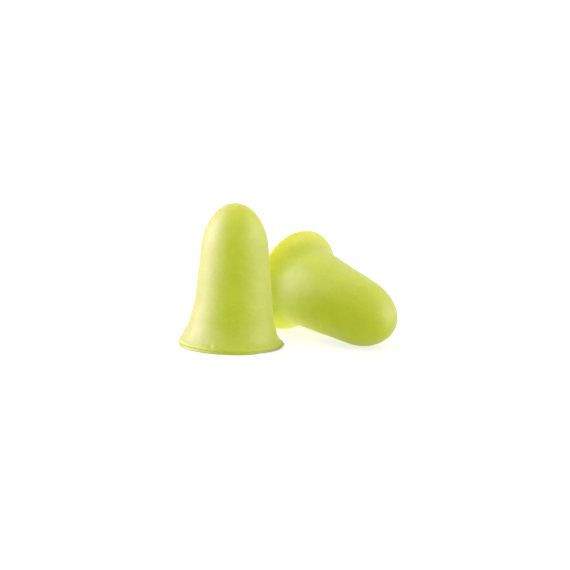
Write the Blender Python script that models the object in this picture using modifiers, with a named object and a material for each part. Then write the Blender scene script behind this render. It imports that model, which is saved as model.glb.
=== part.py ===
"""A loose pair of bell-shaped foam ear plugs: one stands on its base, the other lies beside it.

Both plugs are the same moulding, a body of revolution. Its outline is an elliptical tip, a
tapered barrel, a flare with one arc radius, a rim band and a flat base. The lying plug rests on
its rim and on the side of its tip, so its tilt and height come from that outline.

Units are metres, +Z is up. The origin is the centre of the standing plug's base.
"""

import math

import bpy
from mathutils import Vector

MM = 0.001

# The moulding
PLUG_LENGTH = 25.0 * MM
TIP_DIAMETER = 11.8 * MM
TIP_HEIGHT = 9.1 * MM
BARREL_TAPER = math.radians(5.3)
FLARE_DIAMETER = 18.3 * MM
FLARE_ARC_RADIUS = 6.2 * MM
RIM_BAND = 0.85 * MM
RIM_EDGE_RADIUS = 0.4 * MM
BASE_EDGE_RADIUS = 0.3 * MM

# How the lying plug is set down beside the standing one
LYING_YAW = math.radians(-46.7)
LYING_SETBACK = 4.5 * MM
PAIR_GAP = 2.6 * MM

# Facets
TURN_STEPS = 48
TIP_SEGMENTS = 11
FLARE_SEGMENTS = 6
EDGE_SEGMENTS = 3
AXIS_MERGE = 0.01 * MM

FOAM_COLOUR = (0.62, 0.66, 0.06, 1.0)
FOAM_ROUGHNESS = 0.85


def arc(centre, radius, start, end, segments):
    """Points of a circular arc in the outline's plane, from angle start to angle end."""
    points = []
    for i in range(segments + 1):
        angle = start + (end - start) * i / segments
        points.append(centre + radius * Vector((math.cos(angle), math.sin(angle))))
    return points


def rounded_corner(before, corner, after, radius, segments):
    """Points that round off the corner between two straight lines with a tangent arc."""
    back = (before - corner).normalized()
    ahead = (after - corner).normalized()
    half = back.angle(ahead) / 2
    centre = corner + (back + ahead).normalized() * (radius / math.sin(half))
    first = corner + back * (radius / math.tan(half)) - centre
    last = corner + ahead * (radius / math.tan(half)) - centre
    start = math.atan2(first.y, first.x)
    sweep = math.atan2(first.x * last.y - first.y * last.x, first.dot(last))
    return arc(centre, radius, start, start + sweep, segments)


def tip_points():
    """The elliptical tip, from the apex down to where its side runs along the barrel's taper."""
    half_width = TIP_DIAMETER / 2
    centre_height = PLUG_LENGTH - TIP_HEIGHT
    tangent = math.atan(TIP_HEIGHT / half_width * math.tan(BARREL_TAPER))
    points = []
    for i in range(TIP_SEGMENTS + 1):
        angle = math.pi / 2 + (tangent - math.pi / 2) * i / TIP_SEGMENTS
        radius = half_width * math.cos(angle)
        points.append(Vector((radius, centre_height + TIP_HEIGHT * math.sin(angle))))
    points[0].x = 0.0
    return points


def flare_points(barrel_top):
    """The flare: an arc that leaves the barrel's side smoothly and ends at the rim band's top."""
    down = Vector((math.sin(BARREL_TAPER), -math.cos(BARREL_TAPER)))
    outward = Vector((math.cos(BARREL_TAPER), math.sin(BARREL_TAPER)))
    rim_top = Vector((FLARE_DIAMETER / 2, RIM_BAND))
    to_rim = rim_top - barrel_top
    aside = to_rim.dot(outward) - FLARE_ARC_RADIUS
    run = to_rim.dot(down) - math.sqrt(FLARE_ARC_RADIUS**2 - aside**2)
    neck = barrel_top + down * run
    centre = neck + outward * FLARE_ARC_RADIUS
    start = math.atan2(*reversed(neck - centre)) % math.tau
    end = math.atan2(*reversed(rim_top - centre)) % math.tau
    return arc(centre, FLARE_ARC_RADIUS, start, end, FLARE_SEGMENTS)


def plug_outline():
    """Half of the plug's section as (radius, height), from the apex down its side to the base."""
    tip = tip_points()
    flare = flare_points(tip[-1])
    base_corner = Vector((FLARE_DIAMETER / 2, 0.0))
    base_centre = Vector((0.0, 0.0))
    rim = rounded_corner(flare[-2], flare[-1], base_corner, RIM_EDGE_RADIUS, EDGE_SEGMENTS)
    base = rounded_corner(flare[-1], base_corner, base_centre, BASE_EDGE_RADIUS, EDGE_SEGMENTS)
    return tip + flare[:-1] + rim + base + [base_centre]


def resting_tilt(outline):
    """How far the axis tips down when the plug lies on its rim and on the side of its tip."""
    middle = PLUG_LENGTH / 2
    rim = [p for p in outline if p.y < middle]
    tip = [p for p in outline if p.y > middle]
    return max(min(math.atan2(r.x - t.x, t.y - r.y) for t in tip) for r in rim)


def lying_height(outline, tilt):
    """Height of the lying plug's base centre with its lowest points on the floor."""
    return max(p.y * math.sin(tilt) + p.x * math.cos(tilt) for p in outline)


def radius_at(outline, height):
    """The plug's radius at a height, read along its outline."""
    for above, below in zip(outline, outline[1:]):
        if below.y <= height <= above.y and above.y > below.y:
            share = (above.y - height) / (above.y - below.y)
            return above.x + (below.x - above.x) * share
    return FLARE_DIAMETER / 2


def foam_material():
    material = bpy.data.materials.new("yellow_green_foam")
    material.use_nodes = True
    shader = material.node_tree.nodes["Principled BSDF"]
    shader.inputs["Base Color"].default_value = FOAM_COLOUR
    shader.inputs["Roughness"].default_value = FOAM_ROUGHNESS
    shader.inputs["Metallic"].default_value = 0.0
    return material


def make_plug(name, outline, material, collection):
    """One plug, its outline turned about Z, with its object's origin at its base centre."""
    mesh = bpy.data.meshes.new(name)
    points = [(p.x, 0.0, p.y) for p in outline]
    mesh.from_pydata(points, [(i, i + 1) for i in range(len(points) - 1)], [])
    mesh.materials.append(material)
    plug = bpy.data.objects.new(name, mesh)
    collection.objects.link(plug)
    turn = plug.modifiers.new("turn", "SCREW")
    turn.axis = "Z"
    turn.angle = math.tau
    turn.steps = TURN_STEPS
    turn.render_steps = TURN_STEPS
    turn.use_merge_vertices = True
    turn.merge_threshold = AXIS_MERGE
    turn.use_smooth_shade = True
    return plug


def lay_down(plug, outline):
    """Sets a plug on its side, its rim beside the standing plug's barrel and its tip in front."""
    tilt = resting_tilt(outline)
    height = lying_height(outline, tilt)
    along = Vector((math.cos(LYING_YAW), math.sin(LYING_YAW), 0.0))
    aside = Vector((-along.y, along.x, 0.0))
    distance = radius_at(outline, height) + PAIR_GAP + FLARE_DIAMETER / 2
    plug.location = aside * distance - along * LYING_SETBACK + Vector((0.0, 0.0, height))
    plug.rotation_euler = (0.0, math.pi / 2 + tilt, LYING_YAW)


def clear_scene():
    for obj in list(bpy.data.objects):
        bpy.data.objects.remove(obj)


def main():
    clear_scene()
    collection = bpy.data.collections.new("foam_ear_plugs")
    bpy.context.scene.collection.children.link(collection)
    outline = plug_outline()
    foam = foam_material()
    make_plug("standing_plug", outline, foam, collection)
    lying = make_plug("lying_plug", outline, foam, collection)
    lay_down(lying, outline)


main()
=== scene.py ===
"""Looks for the loose pair of foam ear plugs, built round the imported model.

Each plug is one turned foam form, made here as a dense mesh with the small unevenness of moulded
foam and a porous foam material. Units are metres, +Z is up, and the origin is the centre of the
standing plug's base.
"""

import math

import bpy
from mathutils import Matrix, Vector, noise


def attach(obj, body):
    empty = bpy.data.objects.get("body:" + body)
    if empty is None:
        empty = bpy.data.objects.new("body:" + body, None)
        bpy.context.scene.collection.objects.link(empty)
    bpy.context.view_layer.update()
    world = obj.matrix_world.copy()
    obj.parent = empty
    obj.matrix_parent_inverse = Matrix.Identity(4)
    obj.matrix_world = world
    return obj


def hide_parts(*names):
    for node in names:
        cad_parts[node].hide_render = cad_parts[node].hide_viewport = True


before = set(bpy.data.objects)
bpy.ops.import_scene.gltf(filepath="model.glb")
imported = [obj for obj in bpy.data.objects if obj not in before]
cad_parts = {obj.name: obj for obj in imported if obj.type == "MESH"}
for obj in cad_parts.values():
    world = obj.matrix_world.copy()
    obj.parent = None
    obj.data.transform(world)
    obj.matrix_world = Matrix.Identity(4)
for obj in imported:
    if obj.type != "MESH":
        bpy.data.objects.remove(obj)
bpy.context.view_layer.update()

MM = 0.001

# The moulding, as in the solids apart from its edge radii and its dished base
PLUG_LENGTH = 25.0 * MM
TIP_DIAMETER = 11.8 * MM
TIP_HEIGHT = 9.1 * MM
BARREL_TAPER = math.radians(5.3)
FLARE_DIAMETER = 18.3 * MM
FLARE_ARC_RADIUS = 6.2 * MM
RIM_BAND = 0.85 * MM
STANDING_RIM_RADIUS = 0.25 * MM
STANDING_BASE_RADIUS = 0.15 * MM
LYING_RIM_RADIUS = 0.7 * MM
LYING_BASE_RADIUS = 0.45 * MM
BASE_DISH = 0.15 * MM
DISH_START = 0.97
DISH_FLOOR = 0.55

# How the lying plug is set down, as in the solids
LYING_YAW = math.radians(-46.7)
LYING_SETBACK = 4.5 * MM
PAIR_GAP = 2.6 * MM

# Mesh density
TURN_STEPS = 192
TIP_STEPS = 60
BARREL_STEPS = 46
FLARE_STEPS = 26
EDGE_STEPS = 8
BAND_STEPS = 10
BASE_STEPS = 32
ON_AXIS = 0.001 * MM

# Unevenness of the foam on both plugs
DRIFT = 0.07 * MM
DRIFT_SIZE = 5.0 * MM
SKIN = 0.012 * MM
SKIN_SIZE = 0.75 * MM
RIM_WOBBLE = 0.07 * MM
RIM_WOBBLE_TURNS = 2.6
RIM_ZONE = 1.6 * MM
RIM_START = 6.0 * MM
STANDING_OFFSET = Vector((3.7, 11.3, 5.9))
LYING_OFFSET = Vector((21.4, 2.6, 14.2))

# The standing plug's skirt: each pair of heights or radii is where a swell starts and is full
NEAR_AXIS = 0.1 * MM
SKIRT_SWELL = 0.55 * MM
SKIRT_FROM_BELOW = (0.6 * MM, 3.0 * MM)
SKIRT_FROM_ABOVE = (8.5 * MM, 4.0 * MM)
FOOT_SWELL_LEFT = 0.2 * MM
FOOT_DRAW_RIGHT = 0.45 * MM
FOOT_FROM_ABOVE = (3.5 * MM, 1.5 * MM)
FOOT_FROM_INSIDE = (6.0 * MM, 8.5 * MM)

# The fine line round the standing plug's rim, and a nick there with a raised lip
RIM_LINE_DEPTH = 0.06 * MM
RIM_LINE_HEIGHT = 0.42 * MM
RIM_LINE_WIDTH = 0.09 * MM
NICK_PLACE = Vector((-3.75, -7.75, 1.05)) * MM
NICK_DEPTH = 0.22 * MM
NICK_RADIUS = 0.4 * MM
LIP_PLACE = Vector((-3.1, -8.05, 1.10)) * MM
LIP_HEIGHT = 0.08 * MM
LIP_RADIUS = 0.4 * MM

# Foam: light scatters inside it, and a soft sheen lies on it
FOAM_FINISH = {
    "Subsurface Weight": 1.0,
    "Subsurface Radius": (1.0, 0.65, 0.2),
    "Subsurface Scale": 6.0 * MM,
    "IOR": 1.45,
    "Specular IOR Level": 0.5,
    "Sheen Weight": 0.4,
    "Sheen Roughness": 0.5,
    "Sheen Tint": (1.0, 0.88, 0.75, 1.0),
}
FOAM_DEEP = (0.605, 0.71, 0.014, 1.0)
FOAM_PALE = (0.67, 0.775, 0.020, 1.0)
# Painted shade: the pores are mixed towards this darker colour, as if shaded in their pits
FOAM_PORE_SHADE = (0.49, 0.57, 0.010, 1.0)
FOAM_ROUGHNESS = (0.6, 0.7)
CELLS = {"Scale": 2400.0, "Detail": 3.0, "Roughness": 0.6}
BLOTCHES = {"Scale": 420.0, "Detail": 2.0, "Roughness": 0.5}
PORES = {"Scale": 1300.0, "Randomness": 1.0}
CELL_SHARE = 0.55
BLOTCH_SHARE = 0.45
MOTTLE_RANGE = (0.36, 0.64)
PORE_RANGE = (0.22, 0.05)
# Top of the pore mask: how deep the pits sink in the bump, and how strongly painted shade darkens
# them
PORE_DEPTH_AND_SHADE = 0.55
BUMP_STRENGTH = 0.5
BUMP_HEIGHT = 0.06 * MM

# Floor: what the camera sees of it, and the light that it gives the plugs: real bounce off its
# grey and a painted glow
FLOOR_HALF_SIZE = 1.5
FLOOR_DROP = 0.01 * MM
SHADOW_GREY = 0.48
# Seen glow, painted dimmer near the plugs so that their real shadow shows darker there
GLOW_REACH = (0.03, 0.20)
SEEN_GLOW_LEVELS_DIM_NEAR_PLUGS = (0.68, 1.0)
BOUNCE_GREY = 0.5
# Painted glow that lights the plugs from below: a painted pool of light, brighter at the back
# left, and a painted shadow with no glow round the standing plug's base
PAINTED_GLOW_BRIGHT_SIDE = (-0.7, 0.7, 0.0)
PAINTED_GLOW_REACH = (-15.0 * MM, 7.0 * MM)
PAINTED_GLOW_LEVELS = (0.30, 0.72)
PAINTED_SHADOW_UNDER_PLUG = (0.44 * FLARE_DIAMETER, 0.53 * FLARE_DIAMETER)

# World: its level as light, and how much brighter it is towards +X
WORLD_LEVEL = 0.49
WORLD_LEAN = (0.47, 0.0, 0.0)
SHOWN_LEVEL = 1.0

# Lamps: name, place, width, height, brightness of the face, colour; cards light only the gloss
LIGHT_TARGET = Vector((8.0, 6.0, 10.0)) * MM
LEFT_PLACE = (-0.293, 0.030, 0.075)
WHITE = (1.0, 1.0, 1.0)
WARM = (1.0, 0.80, 0.84)
LILAC = (0.92, 0.72, 1.0)
SOFTBOXES = (
    ("left_softbox", LEFT_PLACE, 0.16, 0.30, 2.4, WARM),
    ("back_softbox", (-0.15, 0.17, 0.25), 0.30, 0.30, 1.0, WARM),
    ("top_softbox", (0.02, -0.12, 0.30), 0.25, 0.25, 1.2, WHITE),
)
CARDS = (
    ("left_card", LEFT_PLACE, 0.16, 0.30, 50.0, LILAC),
    ("right_card", (0.305, -0.022, 0.075), 0.16, 0.30, 22.0, LILAC),
    ("back_card", (0.0, 0.25, 0.25), 0.20, 0.20, 2.0, LILAC),
)

# Camera: the pixel is where the origin falls in the picture
PICTURE_SIZE = 570
PIXELS_PER_METRE = 5764.0
CAMERA_DISTANCE = 0.890
CAMERA_ELEVATION = math.radians(10.145)
CAMERA_ROLL = math.radians(1.401)
CAMERA_CLIP = (0.01, 20.0)
ORIGIN_PIXEL = (232.56, 345.33)
SENSOR_WIDTH = 36.0


def step(start, full, value):
    """0 up to start, 1 from full on, and smooth between them; start may be above full."""
    t = min(max((value - start) / (full - start), 0.0), 1.0)
    return t * t * (3.0 - 2.0 * t)


def spot(point, centre, radius):
    """1 at a centre, fading to 0 at about two radii from it."""
    return math.exp(-((point - centre).length_squared) / radius**2)


def arc(centre, radius, start, end, steps):
    """Points of a circular arc in the outline's plane, from angle start to angle end."""
    points = []
    for i in range(steps + 1):
        angle = start + (end - start) * i / steps
        points.append(centre + radius * Vector((math.cos(angle), math.sin(angle))))
    return points


def line(start, end, steps):
    """Points between two ends, without the ends."""
    return [start.lerp(end, i / steps) for i in range(1, steps)]


def rounded_corner(before, corner, after, radius, steps):
    """Points that round off the corner between two straight lines with a tangent arc."""
    back = (before - corner).normalized()
    ahead = (after - corner).normalized()
    half = back.angle(ahead) / 2
    centre = corner + (back + ahead).normalized() * (radius / math.sin(half))
    first = corner + back * (radius / math.tan(half)) - centre
    last = corner + ahead * (radius / math.tan(half)) - centre
    start = math.atan2(first.y, first.x)
    sweep = math.atan2(first.x * last.y - first.y * last.x, first.dot(last))
    return arc(centre, radius, start, start + sweep, steps)


def tip_points():
    """The elliptical tip, from the apex down to where its side runs along the barrel's taper."""
    half_width = TIP_DIAMETER / 2
    centre_height = PLUG_LENGTH - TIP_HEIGHT
    tangent = math.atan(TIP_HEIGHT / half_width * math.tan(BARREL_TAPER))
    points = []
    for i in range(TIP_STEPS + 1):
        angle = math.pi / 2 + (tangent - math.pi / 2) * i / TIP_STEPS
        radius = half_width * math.cos(angle)
        points.append(Vector((radius, centre_height + TIP_HEIGHT * math.sin(angle))))
    points[0].x = 0.0
    return points


def flare_points(barrel_top):
    """The flare: an arc that leaves the barrel's side smoothly and ends at the rim band's top."""
    down = Vector((math.sin(BARREL_TAPER), -math.cos(BARREL_TAPER)))
    outward = Vector((math.cos(BARREL_TAPER), math.sin(BARREL_TAPER)))
    rim_top = Vector((FLARE_DIAMETER / 2, RIM_BAND))
    to_rim = rim_top - barrel_top
    aside = to_rim.dot(outward) - FLARE_ARC_RADIUS
    run = to_rim.dot(down) - math.sqrt(FLARE_ARC_RADIUS**2 - aside**2)
    neck = barrel_top + down * run
    centre = neck + outward * FLARE_ARC_RADIUS
    start = math.atan2(*reversed(neck - centre)) % math.tau
    end = math.atan2(*reversed(rim_top - centre)) % math.tau
    return arc(centre, FLARE_ARC_RADIUS, start, end, FLARE_STEPS)


def plug_outline(rim_radius, base_radius):
    """Half of the plug's section as (radius, height), from the apex down its side to the base."""
    tip = tip_points()
    flare = flare_points(tip[-1])
    base_corner = Vector((FLARE_DIAMETER / 2, 0.0))
    base_centre = Vector((0.0, 0.0))
    rim = rounded_corner(flare[-2], flare[-1], base_corner, rim_radius, EDGE_STEPS)
    edge = rounded_corner(flare[-1], base_corner, base_centre, base_radius, EDGE_STEPS)
    flare = [p for p in flare if (p - flare[-1]).length > (rim[0] - flare[-1]).length]
    barrel = line(tip[-1], flare[0], BARREL_STEPS)
    band = line(rim[-1], edge[0], BAND_STEPS)
    base = line(edge[-1], base_centre, BASE_STEPS)
    for point in base:
        point.y = BASE_DISH * step(DISH_START, DISH_FLOOR, point.x / edge[-1].x)
    base_centre.y = BASE_DISH
    return tip + barrel + flare + rim + band + edge + base + [base_centre]


def resting_tilt(outline):
    """How far the axis tips down when the plug lies on its rim and on the side of its tip."""
    middle = PLUG_LENGTH / 2
    rim = [p for p in outline if p.y < middle]
    tip = [p for p in outline if p.y > middle]
    return max(min(math.atan2(r.x - t.x, t.y - r.y) for t in tip) for r in rim)


def radius_at(outline, height):
    """The plug's radius at a height, read along its outline."""
    for above, below in zip(outline, outline[1:]):
        if below.y <= height <= above.y and above.y > below.y:
            share = (above.y - height) / (above.y - below.y)
            return above.x + (below.x - above.x) * share
    return FLARE_DIAMETER / 2


def lying_place(outline):
    """The lying plug's place: its rim beside the standing plug's barrel and its tip in front."""
    tilt = resting_tilt(outline)
    height = max(p.y * math.sin(tilt) + p.x * math.cos(tilt) for p in outline)
    along = Vector((math.cos(LYING_YAW), math.sin(LYING_YAW), 0.0))
    aside = Vector((-along.y, along.x, 0.0))
    distance = radius_at(outline, height) + PAIR_GAP + FLARE_DIAMETER / 2
    centre = aside * distance - along * LYING_SETBACK + Vector((0.0, 0.0, height))
    turn = Matrix.Rotation(LYING_YAW, 4, "Z") @ Matrix.Rotation(math.pi / 2 + tilt, 4, "Y")
    return Matrix.Translation(centre) @ turn


def outline_normals(outline):
    """The outward direction at each point of the outline."""
    normals = []
    for i in range(len(outline)):
        along = outline[min(i + 1, len(outline) - 1)] - outline[max(i - 1, 0)]
        normals.append(Vector((-along.y, along.x)).normalized())
    normals[0] = Vector((0.0, 1.0))
    normals[-1] = Vector((0.0, -1.0))
    return normals


def foam_swell(point, offset):
    """How far the foam stands proud of the true form: slow drift, skin texture and a wavy rim."""
    swell = DRIFT * noise.noise(point / DRIFT_SIZE + offset)
    swell += SKIN * noise.noise(point / SKIN_SIZE + offset)
    radius = math.hypot(point.x, point.y)
    if radius > RIM_START:
        round_rim = Vector((point.x, point.y, 0.0)) / radius * RIM_WOBBLE_TURNS + offset
        near_rim = step(RIM_ZONE, 0.0, point.z) * step(RIM_START, FLARE_DIAMETER / 2, radius)
        swell += RIM_WOBBLE * near_rim * noise.noise(round_rim)
    return swell


def standing_swell(point):
    """The standing plug's skirt is fuller on its left and drawn in on its right."""
    swell = foam_swell(point, STANDING_OFFSET)
    radius = math.hypot(point.x, point.y)
    side = point.x / max(radius, NEAR_AXIS)
    left = max(-side, 0.0) ** 2
    right = max(side, 0.0) ** 2
    skirt = step(*SKIRT_FROM_BELOW, point.z) * step(*SKIRT_FROM_ABOVE, point.z)
    swell += SKIRT_SWELL * left * skirt
    on_rim = step(*FOOT_FROM_INSIDE, radius)
    foot = step(*FOOT_FROM_ABOVE, point.z) * on_rim
    swell += (FOOT_SWELL_LEFT * left - FOOT_DRAW_RIGHT * right) * foot
    off_line = (point.z - RIM_LINE_HEIGHT) / RIM_LINE_WIDTH
    swell -= RIM_LINE_DEPTH * on_rim * math.exp(-(off_line**2))
    swell -= NICK_DEPTH * spot(point, NICK_PLACE, NICK_RADIUS)
    swell += LIP_HEIGHT * spot(point, LIP_PLACE, LIP_RADIUS)
    return swell


def lying_swell(point):
    """The lying plug has only the unevenness that both share."""
    return foam_swell(point, LYING_OFFSET)


def turned_rings(outline, swell, place):
    """Points of the outline turned about Z, moved along their normals and kept above the floor.

    Also gives each ring's point numbers; a ring on the axis is a single point.
    """
    verts = []
    rings = []
    for point, normal in zip(outline, outline_normals(outline)):
        ring = []
        for i in range(1 if point.x < ON_AXIS else TURN_STEPS):
            angle = math.tau * i / TURN_STEPS
            around = Vector((math.cos(angle), math.sin(angle), 0.0))
            rest = around * point.x + Vector((0.0, 0.0, point.y))
            out = around * normal.x + Vector((0.0, 0.0, normal.y))
            moved = place @ (rest + out * swell(rest))
            moved.z = max(moved.z, 0.0)
            ring.append(len(verts))
            verts.append(moved)
        rings.append(ring)
    return verts, rings


def ring_faces(upper, lower):
    """Faces between two neighbouring rings, either of which may be a single point."""
    faces = []
    for i in range(TURN_STEPS):
        j = (i + 1) % TURN_STEPS
        if len(upper) == 1:
            faces.append((upper[0], lower[i], lower[j]))
        elif len(lower) == 1:
            faces.append((upper[i], lower[0], upper[j]))
        else:
            faces.append((upper[i], lower[i], lower[j], upper[j]))
    return faces


def turned_mesh(name, outline, swell, place):
    """One plug's closed mesh, in the row frame."""
    verts, rings = turned_rings(outline, swell, place)
    faces = []
    for upper, lower in zip(rings, rings[1:]):
        faces += ring_faces(upper, lower)
    mesh = bpy.data.meshes.new(name)
    mesh.from_pydata(verts, [], faces)
    mesh.shade_smooth()
    mesh.update()
    return mesh


def feed(tree, socket, value):
    """Links another node's output to a socket, or sets the socket to a plain value."""
    if isinstance(value, bpy.types.NodeSocket):
        tree.links.new(value, socket)
    else:
        socket.default_value = value


def add_node(tree, kind, **inputs):
    """A node with its named inputs fed; an underscore in a name stands for a space."""
    node = tree.nodes.new(kind)
    for name, value in inputs.items():
        feed(tree, node.inputs[name.replace("_", " ")], value)
    return node


def calculate(tree, operation, *values, kind="ShaderNodeMath"):
    """The result of a Math or Vector Math node, its inputs fed in order."""
    node = tree.nodes.new(kind)
    node.operation = operation
    for socket, value in zip(node.inputs, values):
        feed(tree, socket, value)
    return node.outputs["Value"]


def map_range(tree, value, source, target, curve="LINEAR"):
    """A value carried over from one range to another and held at both ends."""
    node = add_node(tree, "ShaderNodeMapRange", Value=value, From_Min=source[0],
                    From_Max=source[1], To_Min=target[0], To_Max=target[1])
    node.interpolation_type = curve
    return node.outputs["Result"]


def foam_colour(tree, cells, blotches, pore_pit_and_shade_mask):
    """Mottled yellow-green, with painted shade darkening the pores."""
    blotch_part = calculate(tree, "MULTIPLY", blotches, BLOTCH_SHARE)
    mottle = calculate(tree, "MULTIPLY_ADD", cells, CELL_SHARE, blotch_part)
    ramp = add_node(tree, "ShaderNodeValToRGB", Fac=mottle)
    deep, pale = ramp.color_ramp.elements
    deep.position, pale.position = MOTTLE_RANGE
    deep.color = FOAM_DEEP
    pale.color = FOAM_PALE
    # Painted shade: the colour goes darker in the pores, where their pits would be shaded
    pore_shaded = add_node(tree, "ShaderNodeMixRGB", Fac=pore_pit_and_shade_mask, Color1=ramp.outputs["Color"],
                     Color2=FOAM_PORE_SHADE)
    return pore_shaded.outputs["Color"]


def foam_material(name, offset):
    """Moulded foam: mottled yellow-green, fine cells and open pores with painted shade in them, a
    soft pale sheen.
    """
    material = bpy.data.materials.new(name)
    material.use_nodes = True
    tree = material.node_tree
    shader = tree.nodes["Principled BSDF"]
    shader.subsurface_method = "RANDOM_WALK"
    for socket, value in FOAM_FINISH.items():
        shader.inputs[socket].default_value = value

    place = tree.nodes.new("ShaderNodeTexCoord").outputs["Object"]
    moved = add_node(tree, "ShaderNodeMapping", Vector=place, Location=offset * MM)
    place = moved.outputs["Vector"]
    cells = add_node(tree, "ShaderNodeTexNoise", Vector=place, **CELLS).outputs["Fac"]
    blotches = add_node(tree, "ShaderNodeTexNoise", Vector=place, **BLOTCHES).outputs["Fac"]
    pores = add_node(tree, "ShaderNodeTexVoronoi", Vector=place, **PORES).outputs["Distance"]
    # The pore mask both sinks the pits in the bump and paints shade into them
    pore_pit_and_shade_mask = map_range(tree, pores, PORE_RANGE, (0.0, PORE_DEPTH_AND_SHADE))

    colour = foam_colour(tree, cells, blotches, pore_pit_and_shade_mask)
    roughness = map_range(tree, cells, (0.0, 1.0), FOAM_ROUGHNESS)
    height = calculate(tree, "SUBTRACT", cells, pore_pit_and_shade_mask)
    bump = add_node(tree, "ShaderNodeBump", Height=height, Strength=BUMP_STRENGTH,
                    Distance=BUMP_HEIGHT)
    tree.links.new(colour, shader.inputs["Base Color"])
    tree.links.new(roughness, shader.inputs["Roughness"])
    tree.links.new(bump.outputs["Normal"], shader.inputs["Normal"])
    return material


def make_plug(name, outline, swell, place, material, body, node):
    """One foam plug that stands for a CAD node and moves with its body."""
    mesh = turned_mesh(name, outline, swell, place)
    mesh.materials.append(material)
    plug = bpy.data.objects.new(name, mesh)
    bpy.context.scene.collection.objects.link(plug)
    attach(plug, body)
    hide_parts(node)


def make_pair():
    """Both plugs; the lying one is placed by the standing one's outline."""
    outline = plug_outline(STANDING_RIM_RADIUS, STANDING_BASE_RADIUS)
    make_plug("standing_foam_plug", outline, standing_swell, Matrix.Identity(4),
              foam_material("standing_foam", STANDING_OFFSET), "standing", "standing_plug")
    place = lying_place(outline)
    outline = plug_outline(LYING_RIM_RADIUS, LYING_BASE_RADIUS)
    make_plug("lying_foam_plug", outline, lying_swell, place,
              foam_material("lying_foam", LYING_OFFSET), "lying", "lying_plug")


def shown_directly(tree):
    """1 where a surface is seen by the camera, in a reflection or through glass."""
    path = tree.nodes.new("ShaderNodeLightPath").outputs
    seen = calculate(tree, "MAXIMUM", path["Is Camera Ray"], path["Is Glossy Ray"])
    return calculate(tree, "MAXIMUM", seen, path["Is Transmission Ray"])


def glowing_surface(tree, grey, strength):
    """A diffuse grey surface that also gives out white light."""
    diffuse = add_node(tree, "ShaderNodeBsdfDiffuse", Color=(grey, grey, grey, 1.0))
    glow = add_node(tree, "ShaderNodeEmission", Strength=strength)
    both = tree.nodes.new("ShaderNodeAddShader")
    tree.links.new(diffuse.outputs["BSDF"], both.inputs[0])
    tree.links.new(glow.outputs["Emission"], both.inputs[1])
    return both.outputs["Shader"]


def painted_table_glow(tree, place, from_plug):
    """Painted glow off the table that lights the plugs: a painted pool, brighter at the back
    left, and a painted shadow with no glow under the standing plug.
    """
    across = calculate(tree, "DOT_PRODUCT", place, PAINTED_GLOW_BRIGHT_SIDE, kind="ShaderNodeVectorMath")
    level = map_range(tree, across, PAINTED_GLOW_REACH, PAINTED_GLOW_LEVELS, "SMOOTHSTEP")
    # Painted shadow: no glow under and round the standing plug's base
    outside_painted_shadow = map_range(tree, from_plug, PAINTED_SHADOW_UNDER_PLUG, (0.0, 1.0))
    return calculate(tree, "MULTIPLY", level, outside_painted_shadow)


def floor_material():
    """White floor: it shows as white with a faint shadow, real but deepened by a glow painted
    dimmer near the plugs, and a painted glow in it lights the plugs from below.
    """
    material = bpy.data.materials.new("white_sweep")
    material.use_nodes = True
    tree = material.node_tree
    tree.nodes.clear()
    place = tree.nodes.new("ShaderNodeTexCoord").outputs["Object"]
    from_plug = calculate(tree, "LENGTH", place, kind="ShaderNodeVectorMath")
    # What the plugs see: a grey diffuse floor plus the painted glow
    lighting = glowing_surface(tree, BOUNCE_GREY, painted_table_glow(tree, place, from_plug))
    # Painted shade: the glow that the camera sees is lower near the plugs, which deepens their
    # shadow
    seen_glow_dimmed_near_plugs = map_range(tree, from_plug, GLOW_REACH, SEEN_GLOW_LEVELS_DIM_NEAR_PLUGS)
    shown = glowing_surface(tree, SHADOW_GREY, seen_glow_dimmed_near_plugs)
    mix = tree.nodes.new("ShaderNodeMixShader")
    for socket, value in zip(mix.inputs, (shown_directly(tree), lighting, shown)):
        tree.links.new(value, socket)
    output = tree.nodes.new("ShaderNodeOutputMaterial")
    tree.links.new(mix.outputs["Shader"], output.inputs["Surface"])
    return material


def make_floor():
    """A wide flat floor, a hair below the plugs so that no faces coincide."""
    half = FLOOR_HALF_SIZE
    corners = [(x, y, -FLOOR_DROP) for x, y in
               ((-half, -half), (half, -half), (half, half), (-half, half))]
    mesh = bpy.data.meshes.new("floor")
    mesh.from_pydata(corners, [], [(0, 1, 2, 3)])
    mesh.materials.append(floor_material())
    floor = bpy.data.objects.new("floor", mesh)
    bpy.context.scene.collection.objects.link(floor)


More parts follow.
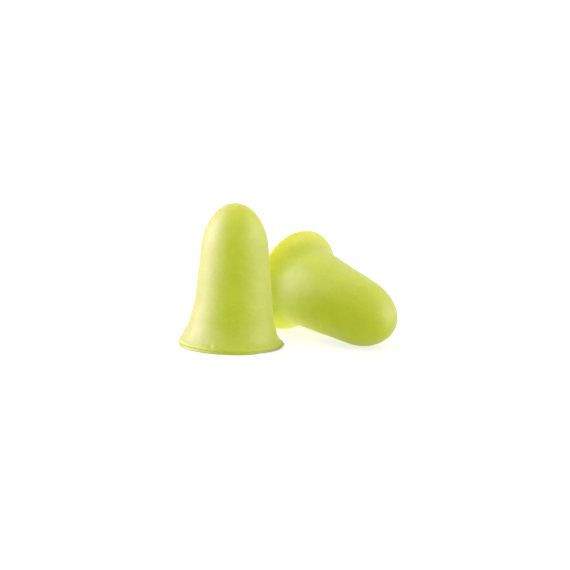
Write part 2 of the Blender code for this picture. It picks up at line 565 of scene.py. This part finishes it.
def make_world():
    """White all round where it is seen; as light, it is brighter on one side."""
    world = bpy.data.worlds.new("studio")
    world.use_nodes = True
    tree = world.node_tree
    direction = tree.nodes.new("ShaderNodeTexCoord").outputs["Generated"]
    lean = calculate(tree, "DOT_PRODUCT", direction, WORLD_LEAN, kind="ShaderNodeVectorMath")
    light = calculate(tree, "ADD", lean, WORLD_LEVEL)
    level = add_node(tree, "ShaderNodeMix", Factor=shown_directly(tree), A=light, B=SHOWN_LEVEL)
    background = tree.nodes["Background"]
    background.inputs["Color"].default_value = (*WHITE, 1.0)
    tree.links.new(level.outputs["Result"], background.inputs["Strength"])
    bpy.context.scene.world = world


def make_lamp(name, place, width, height, brightness, colour, gloss_only):
    """A panel aimed at the pair, its face as bright as a white background of that strength."""
    light = bpy.data.lights.new(name, "AREA")
    light.shape = "RECTANGLE"
    light.size = width
    light.size_y = height
    light.energy = brightness * math.pi * width * height
    light.color = colour
    lamp = bpy.data.objects.new(name, light)
    lamp.location = place
    lamp.rotation_euler = (LIGHT_TARGET - Vector(place)).to_track_quat("-Z", "Y").to_euler()
    lamp.visible_diffuse = not gloss_only
    bpy.context.scene.collection.objects.link(lamp)


def make_camera():
    """A camera that looks along +Y, tipped down and rolled, with the origin at its pixel."""
    right = Vector((1.0, 0.0, 0.0))
    ahead = Vector((0.0, math.cos(CAMERA_ELEVATION), -math.sin(CAMERA_ELEVATION)))
    up = right.cross(ahead)
    focal_pixels = PIXELS_PER_METRE * CAMERA_DISTANCE
    across = (ORIGIN_PIXEL[0] - PICTURE_SIZE / 2) / focal_pixels
    above = (PICTURE_SIZE / 2 - ORIGIN_PIXEL[1]) / focal_pixels
    rolled_right = right * math.cos(CAMERA_ROLL) + up * math.sin(CAMERA_ROLL)
    rolled_up = up * math.cos(CAMERA_ROLL) - right * math.sin(CAMERA_ROLL)
    place = -CAMERA_DISTANCE * (ahead + rolled_right * across + rolled_up * above)
    data = bpy.data.cameras.new("camera")
    data.sensor_width = SENSOR_WIDTH
    data.lens = focal_pixels / PICTURE_SIZE * SENSOR_WIDTH
    data.clip_start, data.clip_end = CAMERA_CLIP
    camera = bpy.data.objects.new("camera", data)
    turn = Matrix((rolled_right, rolled_up, -ahead)).transposed().to_4x4()
    camera.matrix_world = Matrix.Translation(place) @ turn
    bpy.context.scene.collection.objects.link(camera)
    bpy.context.scene.camera = camera


def main():
    bpy.context.scene.view_settings.view_transform = "Standard"
    make_pair()
    make_floor()
    make_world()
    for softbox in SOFTBOXES:
        make_lamp(*softbox, gloss_only=False)
    for card in CARDS:
        make_lamp(*card, gloss_only=True)
    make_camera()


main()
